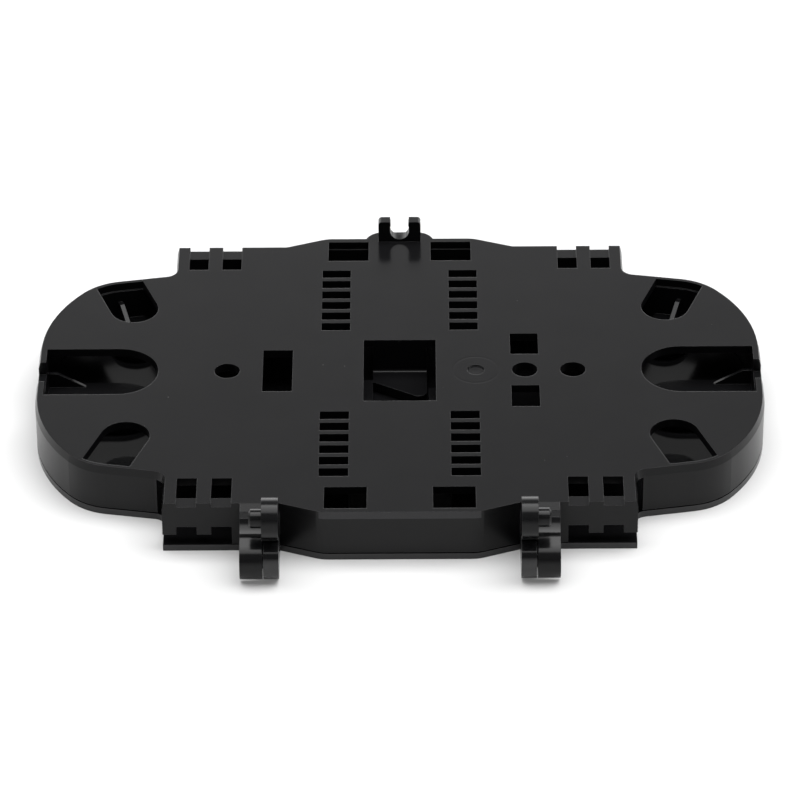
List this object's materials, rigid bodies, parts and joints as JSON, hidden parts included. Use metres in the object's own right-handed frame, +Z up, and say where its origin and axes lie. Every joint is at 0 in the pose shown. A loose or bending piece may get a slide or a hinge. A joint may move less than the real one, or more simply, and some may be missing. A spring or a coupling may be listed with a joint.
{
  "type": "fibre splice tray",
  "caption": "Flat oblong tray with round lobed ends, combs for fibre splices, a hinged cover, front hinge lugs and a rear latch fork for stacking.",
  "frame": {"origin": "centre of the tray outline at the underside of the cover, which lies on the surface", "axes": "+X along the tray, +Y from the hinge side to the latch side, +Z up out of the tray floor"},
  "size_m": [0.1582, 0.1175, 0.0193],
  "materials": {
    "tray_plastic": "moulded black ABS, satin gloss",
    "cover_plastic": "moulded black ABS, satin gloss"
  },
  "bodies": {
    "cover": {"cover": "cover_plastic"},
    "tray": {"tray_body": "tray_plastic"}
  },
  "joints": [
    {"name": "cover_hinge", "type": "hinge", "parent": "cover", "child": "tray", "pos_m": [0, -0.05805, 0.0044], "axis": [1, 0, 0], "range_deg": [0, 85]}
  ]
}
